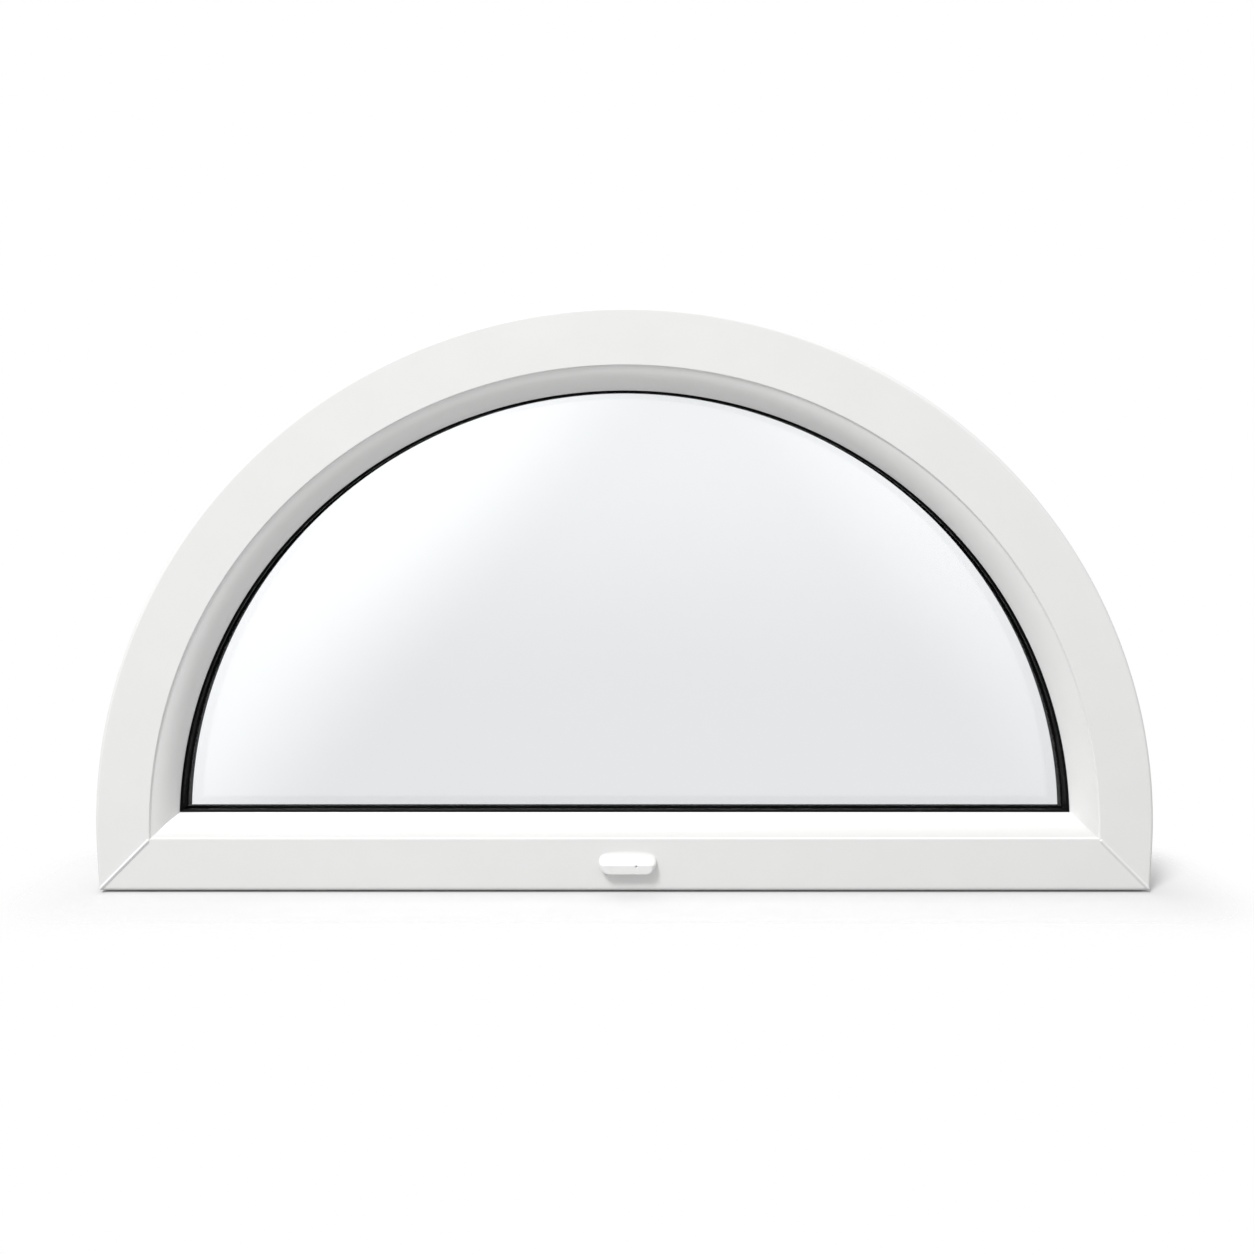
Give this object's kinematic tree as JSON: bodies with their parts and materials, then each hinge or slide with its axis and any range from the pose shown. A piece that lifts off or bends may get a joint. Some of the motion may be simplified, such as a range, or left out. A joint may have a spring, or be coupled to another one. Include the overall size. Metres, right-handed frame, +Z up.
{
  "type": "arched top window frame",
  "caption": "Half-round fixed window in white plastic, with a moulded ovolo inner edge, black gasket, sealed glass and a drain cap on the bottom rail.",
  "frame": {"origin": "middle of the underside of the bottom rail, half way through the frame's depth", "axes": "+X along the width, +Y from the outdoor face to the room side, +Z up"},
  "size_m": [1, 0.0797, 0.54],
  "materials": {
    "white_upvc": "satin",
    "white_moulding": "satin",
    "black_gasket": "matte",
    "clear_glass": "polished",
    "black_spacer": "matte",
    "edge_sealant": "matte",
    "setting_block": "matte"
  },
  "bodies": {
    "root": {"arch_frame": "white_upvc", "bottom_rail": "white_upvc", "weld_bead_front_left": "white_upvc", "weld_bead_front_right": "white_upvc", "weld_bead_back_left": "white_upvc", "weld_bead_back_right": "white_upvc", "glazing_bead_arch": "white_upvc", "glazing_bead_bottom": "white_upvc", "front_gasket_arch": "black_gasket", "front_gasket_bottom": "black_gasket", "back_gasket_arch": "black_gasket", "back_gasket_bottom": "black_gasket", "outer_pane": "clear_glass", "inner_pane": "clear_glass", "spacer_bar": "black_spacer", "edge_seal": "edge_sealant", "setting_block_left": "setting_block", "setting_block_right": "setting_block", "location_block_left": "setting_block", "location_block_right": "setting_block", "drain_cap": "white_moulding"}
  },
  "joints": []
}
